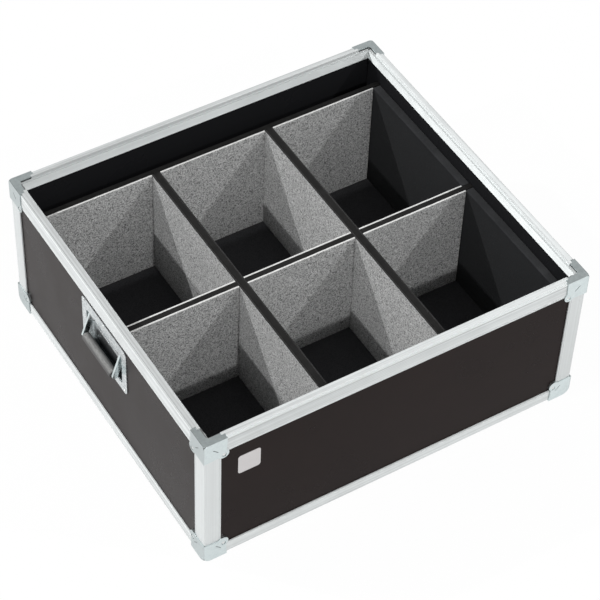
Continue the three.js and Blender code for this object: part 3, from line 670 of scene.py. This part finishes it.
def sheet_mesh(lines, heights, is_cut, low, high, place):
    """A closed sheet of cells, low to high in thickness, without those that is_cut names."""
    made = bmesh.new()
    points = {}

    def middle(stops, index):
        return (stops[index] + stops[index + 1]) / 2

    def point(column, row, face):
        key = (column, row, face)
        if key not in points:
            points[key] = made.verts.new(place(lines[column], heights[row], (low, high)[face]))
        return points[key]

    cells = {
        (column, row)
        for column in range(len(lines) - 1)
        for row in range(len(heights) - 1)
        if not is_cut(middle(lines, column), middle(heights, row))
    }
    for column, row in sorted(cells):
        corners = [(column, row), (column + 1, row), (column + 1, row + 1), (column, row + 1)]
        made.faces.new([point(*corner, 0) for corner in corners])
        made.faces.new([point(*corner, 1) for corner in reversed(corners)])
        beside = [(column, row - 1), (column + 1, row), (column, row + 1), (column - 1, row)]
        for (start, end), other in zip(zip(corners, corners[1:] + corners[:1]), beside):
            if other not in cells:
                made.faces.new([point(*end, 0), point(*start, 0), point(*start, 1), point(*end, 1)])
    bmesh.ops.recalc_face_normals(made, faces=made.faces)
    return made


def soften(made, width, segments=2):
    """Rounds the sharp edges of a soft piece."""
    edges = [edge for edge in made.edges
             if len(edge.link_faces) == 2 and edge.calc_face_angle(0) > 1.0]
    bmesh.ops.bevel(made, geom=edges, offset=width, segments=segments, profile=0.6, affect="EDGES",
                    clamp_overlap=True)
    for face in made.faces:
        face.smooth = True


def roughen(made, seed, amount, scale, above):
    """Moves the upper points a little by smooth noise, so that no cut edge is quite straight."""
    for vert in made.verts:
        if vert.co.z > above:
            vert.co += noise.noise_vector(vert.co * scale + Vector((seed, 0, 0))) * amount


def felt_piece(node, made, edge, seed):
    """One felt, glued to its board: soft edges, an uneven cut top and its own edge colour."""
    soften(made, width=0.0007)
    roughen(made, seed, amount=0.00028, scale=130.0, above=DIVIDER_TOP - 0.003)
    for face in made.faces:
        on_top = face.calc_center_median().z > DIVIDER_TOP - 0.0012
        face.material_index = 1 if on_top else 0
    piece = new_piece(f"{node}_cloth", made, [GREY_FELT, edge])
    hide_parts(node)


def make_felts():
    """The four felts that lie across the case, then the four that run from front to back."""
    height, top_band, row, column = DIVIDER_TOP - WALL_FOOT, 0.004, 0.06, 0.012
    heights = grid_lines((WALL_FOOT, DIVIDER_TOP), (SLOT_FLOOR, DIVIDER_TOP - top_band), row)

    half = LINER_FACE - SEAT_GAP
    slots = [(place - SLOT_HALF, place + SLOT_HALF) for place in LONG_PLACES]
    lines = grid_lines((-half, half), [edge for slot in slots for edge in slot], column)

    def in_slot(across, up):
        return up > SLOT_FLOOR and any(low < across < high for low, high in slots)

    def lengthwise(along, up, thick):
        return Vector((along, thick, up))

    across = [
        ("felt_rear_divider", "rear_divider", REAR_FELT, CUT_FELT),
        ("felt_cross_back", "cross_divider", CROSS_BACK_FELT, CUT_FELT),
        ("felt_cross_front", "cross_divider", CROSS_FRONT_FELT, CUT_FELT),
        ("felt_front_wall", "front_panel", FRONT_LINING, GREY_FELT),
    ]
    for seed, (node, board, faces, edge) in enumerate(across):
        made = sheet_mesh(lines, heights, in_slot, *faces, lengthwise)
        felt_piece(node, made, edge, seed * 7.0)

    cross_low, cross_high = CROSS_FRONT_FELT[0] - SEAT_GAP, CROSS_BACK_FELT[1] + SEAT_GAP
    front_end, rear_end = FRONT_LINING[0], REAR_FELT[1]
    front_notch, rear_notch = FRONT_LINING[1] + SEAT_GAP, REAR_FELT[0] - SEAT_GAP
    breaks = (front_notch, rear_notch, cross_low, cross_high)
    lines = grid_lines((front_end, rear_end), breaks, column)

    def in_notch(along, up):
        at_end = along < front_notch or along > rear_notch
        return up < SLOT_FLOOR and (cross_low < along < cross_high or at_end)

    def crosswise(along, up, thick):
        return Vector((thick, along, up))

    for seed, (label, start) in enumerate(LONG_FELTS.items()):
        board = "long_divider_left" if "left" in label else "long_divider_right"
        made = sheet_mesh(lines, heights, in_notch, start, start + FELT_THICKNESS, crosswise)
        felt_piece(f"felt_long_{label}", made, DARK_EDGE, 40.0 + seed * 7.0)


def foam_block(node, material, seed, crown, softness):
    """A foam board: a closed block with rounded edges and faces that swell a little."""
    low, high = (Vector(corner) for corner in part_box(node))
    made = bmesh.new()
    bmesh.ops.create_cube(made, size=1.0)
    middle, size = (low + high) / 2, high - low
    for vert in made.verts:
        for axis in range(3):
            vert.co[axis] = middle[axis] + vert.co[axis] * (size[axis] - 2 * crown)
    longest = sorted(range(3), key=lambda axis: -size[axis])[:2]
    cell = 0.02
    for axis in longest:
        edges = [edge for edge in made.edges
                 if abs((edge.verts[0].co - edge.verts[1].co)[axis]) > 0.5 * size[axis]]
        cuts = max(2, int(size[axis] / cell))
        bmesh.ops.subdivide_edges(made, edges=edges, cuts=cuts, use_grid_fill=True)
    thin = min(range(3), key=lambda axis: size[axis])
    soften(made, softness, segments=3)
    for vert in made.verts:
        share = [abs(vert.co[axis] - middle[axis]) / (size[axis] / 2) for axis in longest]
        swell = (1 - share[0] ** 4) * (1 - share[1] ** 4)
        side = 1 if vert.co[thin] > middle[thin] else -1
        wave = 0.5 + 0.5 * noise.noise(vert.co * 18.0 + Vector((seed, 0, 0)))
        vert.co[thin] += side * crown * 0.9 * max(0.0, swell) * wave
    piece = new_piece(f"{node}_foam", made, [material])
    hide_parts(node)


def make_foam():
    """The liners on the side walls, and a pad on the floor of each bay."""
    for seed, side in enumerate(("left", "right")):
        for place in ("front", "back"):
            foam_block(f"liner_{side}_{place}", LINER_FOAM, 3.0 * seed, crown=0.0003,
                       softness=0.0022)
    for row in ("front", "back"):
        for column in (1, 2, 3):
            foam_block(f"floor_pad_{row}_{column}", PAD_FOAM, 11.0 * column, crown=0.0002,
                       softness=0.0011)


def rivet_head(radius, height, rings=5, sides=20):
    """A shallow dome with a rolled foot, lying on its seat and facing +Z."""
    made = bmesh.new()
    profile = [(radius * 0.97, 0.0), (radius, height * 0.18)]
    for ring in range(1, rings + 1):
        angle = math.pi / 2 * ring / rings
        profile.append((radius * 0.97 * math.cos(angle), height * (0.25 + 0.75 * math.sin(angle))))
    turns = [2 * math.pi * side / sides for side in range(sides)]
    loops = [
        [made.verts.new((reach * math.cos(turn), reach * math.sin(turn), rise)) for turn in turns]
        for reach, rise in profile[:-1]
    ]
    tip = made.verts.new((0, 0, profile[-1][1]))
    foot = made.verts.new((0, 0, 0))
    for side in range(sides):
        after = (side + 1) % sides
        for lower, upper in zip(loops, loops[1:]):
            made.faces.new((lower[side], lower[after], upper[after], upper[side]))
        made.faces.new((loops[-1][side], loops[-1][after], tip))
        made.faces.new((loops[0][after], loops[0][side], foot))
    for face in made.faces:
        face.smooth = True
    return made


def place_rivet(name, at, facing, radius, height):
    made = rivet_head(radius, height)
    turn = Vector((0, 0, 1)).rotation_difference(Vector(facing)).to_matrix().to_4x4()
    bmesh.ops.transform(made, matrix=Matrix.Translation(Vector(at)) @ turn, verts=made.verts)
    new_piece(name, made, [RIVET])


def make_rivets():
    """One rivet in each ear of the corner braces, and five round each handle plate."""
    long_face, short_face = CASE_DEPTH / 2 - WELL_DEPTH, CASE_WIDTH / 2 - WELL_DEPTH
    along_long, along_short = CASE_WIDTH / 2 - RIVET_INSET, CASE_DEPTH / 2 - RIVET_INSET
    head = (EAR_RIVET_RADIUS, WELL_DEPTH - 0.0001)
    for level, height in (("top", TOP_RIVET_Z), ("bottom", BOTTOM_RIVET_Z)):
        for y_name, y_sign in (("front", -1), ("back", 1)):
            for x_name, x_sign in (("left", -1), ("right", 1)):
                label = f"rivet_{level}_{y_name}_{x_name}"
                long_seat = (x_sign * along_long, y_sign * long_face, height)
                short_seat = (x_sign * short_face, y_sign * along_short, height)
                place_rivet(f"{label}_long_side", long_seat, (0, y_sign, 0), *head)
                place_rivet(f"{label}_short_side", short_seat, (x_sign, 0, 0), *head)

    rows = (PLATE_LOW + PLATE_RIVET_EDGE_INSET, PLATE_HIGH - PLATE_RIVET_EDGE_INSET)
    half = PLATE_HALF_WIDTH - PLATE_RIVET_SIDE_INSET
    for side, sign in (("left", -1), ("right", 1)):
        for row, height in enumerate(rows):
            for column, across in enumerate((-half, 0.0, half)):
                if row == 1 or column != 1:
                    place_rivet(f"rivet_handle_{side}_{row}_{column}",
                                (sign * PLATE_FACE, across, height), (sign, 0, 0),
                                PLATE_RIVET_RADIUS, PLATE_RIVET_HEIGHT)


def make_badge_plate():
    """The small bare plate on the front panel, with its rounded corners and softened edge."""
    turns = 8
    made = bmesh.new()
    low_x, high_x = BADGE_LEFT + BADGE_RADIUS, BADGE_RIGHT - BADGE_RADIUS
    low_z, high_z = BADGE_LOW + BADGE_RADIUS, BADGE_HIGH - BADGE_RADIUS
    front = BADGE_SEAT - BADGE_THICKNESS
    corners = [(high_x, low_z, -90), (high_x, high_z, 0), (low_x, high_z, 90), (low_x, low_z, 180)]
    verts = []
    for centre_x, centre_z, start in corners:
        for step in range(turns + 1):
            angle = math.radians(start + 90 * step / turns)
            verts.append(made.verts.new((centre_x + BADGE_RADIUS * math.cos(angle), front,
                                         centre_z + BADGE_RADIUS * math.sin(angle))))
    face = made.faces.new(verts)
    pushed = bmesh.ops.extrude_face_region(made, geom=[face])
    for item in pushed["geom"]:
        if isinstance(item, bmesh.types.BMVert):
            item.co.y = BADGE_SEAT
    bmesh.ops.recalc_face_normals(made, faces=made.faces)
    rim = [edge for edge in made.edges if all(abs(vert.co.y - front) < 1e-6 for vert in edge.verts)]
    bmesh.ops.bevel(made, geom=rim, offset=0.0003, segments=2, profile=0.6, affect="EDGES")
    new_piece("badge_plate", made, [PLATE_METAL])


# --------------------------------------------------------- stage, light, camera

def make_stage():
    """A pale floor that shows as white and keeps a soft shadow."""
    made = bmesh.new()
    half_size, mirrored_share, glow_share = 9.0, 0.65, 0.97
    bmesh.ops.create_grid(made, x_segments=2, y_segments=2, size=half_size)
    mesh = bpy.data.meshes.new("floor")
    made.to_mesh(mesh)
    made.free()
    floor = bpy.data.objects.new("floor", mesh)
    bpy.context.scene.collection.objects.link(floor)
    material, tree, shader = new_material("pale floor", Roughness=0.9, Specular_IOR_Level=0.1)
    shade = noise_value(tree, object_place(tree), 3.0)
    dull_white, bright_white = (0.80, 0.80, 0.80), (0.83, 0.83, 0.83)
    feed(tree, shader, Base_Color=blend_colours(tree, shade, dull_white, bright_white))
    rays = add(tree, "ShaderNodeLightPath").outputs
    mirrored = maths(tree, "MAXIMUM", rays["Is Glossy Ray"], rays["Is Transmission Ray"])
    seen = maths(tree, "MAXIMUM", rays["Is Camera Ray"], times(tree, mirrored, mirrored_share))
    glow = add(tree, "ShaderNodeEmission", {"Color": (1, 1, 1, 1), "Strength": 1.0})
    mixed = add(tree, "ShaderNodeMixShader",
                {0: times(tree, seen, glow_share), 1: shader.outputs[0], 2: glow.outputs[0]})
    output = next(node for node in tree.nodes if node.type == "OUTPUT_MATERIAL")
    feed(tree, output, Surface=mixed.outputs[0])
    mesh.materials.append(material)


def make_world():
    """Plain white surroundings to the camera; gloss sees them fade to grey overhead."""
    world = bpy.data.worlds.new("studio")
    bpy.context.scene.world = world
    world.use_nodes = True
    tree = world.node_tree
    background = next(node for node in tree.nodes if node.type == "BACKGROUND")
    background.inputs["Color"].default_value = (1, 1, 1, 1)
    rays = add(tree, "ShaderNodeLightPath").outputs
    direction = split_axes(tree, add(tree, "ShaderNodeTexCoord").outputs["Generated"])
    low_gloss, high_gloss, fill = 0.72, 0.36, 0.45
    overhead = spread(tree, direction["Z"], 0.25, 0.75, low_gloss, high_gloss)
    gloss = times(tree, rays["Is Glossy Ray"], overhead)
    diffuse = times(tree, rays["Is Diffuse Ray"], fill)
    feed(tree, background, Strength=plus(tree, plus(tree, rays["Is Camera Ray"], gloss), diffuse))


def make_lights():
    """Four soft square lamps, all at one height, that look at the middle of the case."""
    centre, rise, distance, size = Vector((0, 0, 0.15)), math.radians(40.7), 12.0, 0.28
    lamps = {"lamp_back_left": (135.0, 685.0), "lamp_left": (180.0, 436.0),
             "lamp_front": (270.0, 342.0), "lamp_front_right": (315.0, 349.0)}
    for name, (azimuth, strength) in lamps.items():
        data = bpy.data.lights.new(name, "AREA")
        data.shape = "SQUARE"
        data.size = size
        data.energy = strength
        lamp = bpy.data.objects.new(name, data)
        bpy.context.scene.collection.objects.link(lamp)
        turn = math.radians(azimuth)
        towards = Vector((math.cos(turn) * math.cos(rise), math.sin(turn) * math.cos(rise),
                          math.sin(rise)))
        lamp.location = centre + towards * distance
        lamp.rotation_euler = towards.to_track_quat("Z", "Y").to_euler()


def make_camera():
    """The camera at the photograph's viewing angle, worked out from the rims and corners."""
    azimuth, elevation, roll = math.radians(-33.152), math.radians(47.796), math.radians(2.573)
    fitted_shift = Vector((-0.01726, 0.07705, 3.9082))
    true_width, fitted_width = 720, 714
    fitted_focal, picture_width, sensor_width = 2260.5, 600, 36.0
    back = Vector((math.sin(azimuth) * math.cos(elevation),
                   -math.cos(azimuth) * math.cos(elevation), math.sin(elevation)))
    forward = -back
    right = forward.cross(Vector((0, 0, 1))).normalized()
    up = right.cross(forward)
    turned_right = math.cos(roll) * right + math.sin(roll) * up
    turned_up = -math.sin(roll) * right + math.cos(roll) * up
    rows = Matrix((turned_right, -turned_up, forward))
    centre = -(rows.transposed() @ (fitted_shift * (true_width / fitted_width)))
    data = bpy.data.cameras.new("camera")
    data.sensor_width = sensor_width
    data.lens = fitted_focal / picture_width * sensor_width
    data.clip_end = 50.0
    camera = bpy.data.objects.new("camera", data)
    bpy.context.scene.collection.objects.link(camera)
    turn = Matrix((turned_right, turned_up, -forward)).transposed()
    camera.matrix_world = Matrix.Translation(centre) @ turn.to_4x4()
    bpy.context.scene.camera = camera


make_camera()
finish_nodes()
make_felts()
make_foam()
make_rivets()
make_badge_plate()
make_stage()
make_world()
make_lights()
bpy.context.scene.view_settings.view_transform = "Standard"
